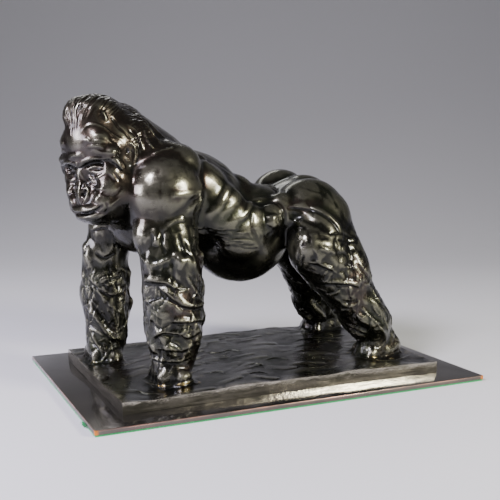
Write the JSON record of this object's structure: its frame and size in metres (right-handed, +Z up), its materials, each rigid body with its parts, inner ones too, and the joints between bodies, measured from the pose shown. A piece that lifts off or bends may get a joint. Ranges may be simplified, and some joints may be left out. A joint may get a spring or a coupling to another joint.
{
  "type": "gorilla figurine",
  "caption": "Cast bronze gorilla walking on all fours on a low ground block, mounted on a thin flat plate with a green baize liner.",
  "frame": {"origin": "centre of the baize liner's underside, which is the middle of the figurine's footprint", "axes": "+Z up, the long side of the plate along X; the gorilla faces -X and its left side is towards -Y"},
  "size_m": [0.45, 0.305, 0.3198],
  "materials": {
    "bronze_patina": "dark brown and olive patina, waxed to a gloss",
    "bronze_polished": "dark patina on a smooth polished plate, worn to copper along its edge",
    "green_baize": "napped wool baize",
    "screw_steel": "plain zinc plated steel"
  },
  "bodies": {
    "root": {"gorilla_casting": "bronze_patina", "base_plate": "bronze_polished", "baize_liner": "green_baize", "plate_screw_1": "screw_steel", "plate_screw_2": "screw_steel", "plate_screw_3": "screw_steel", "plate_screw_4": "screw_steel"}
  },
  "joints": []
}
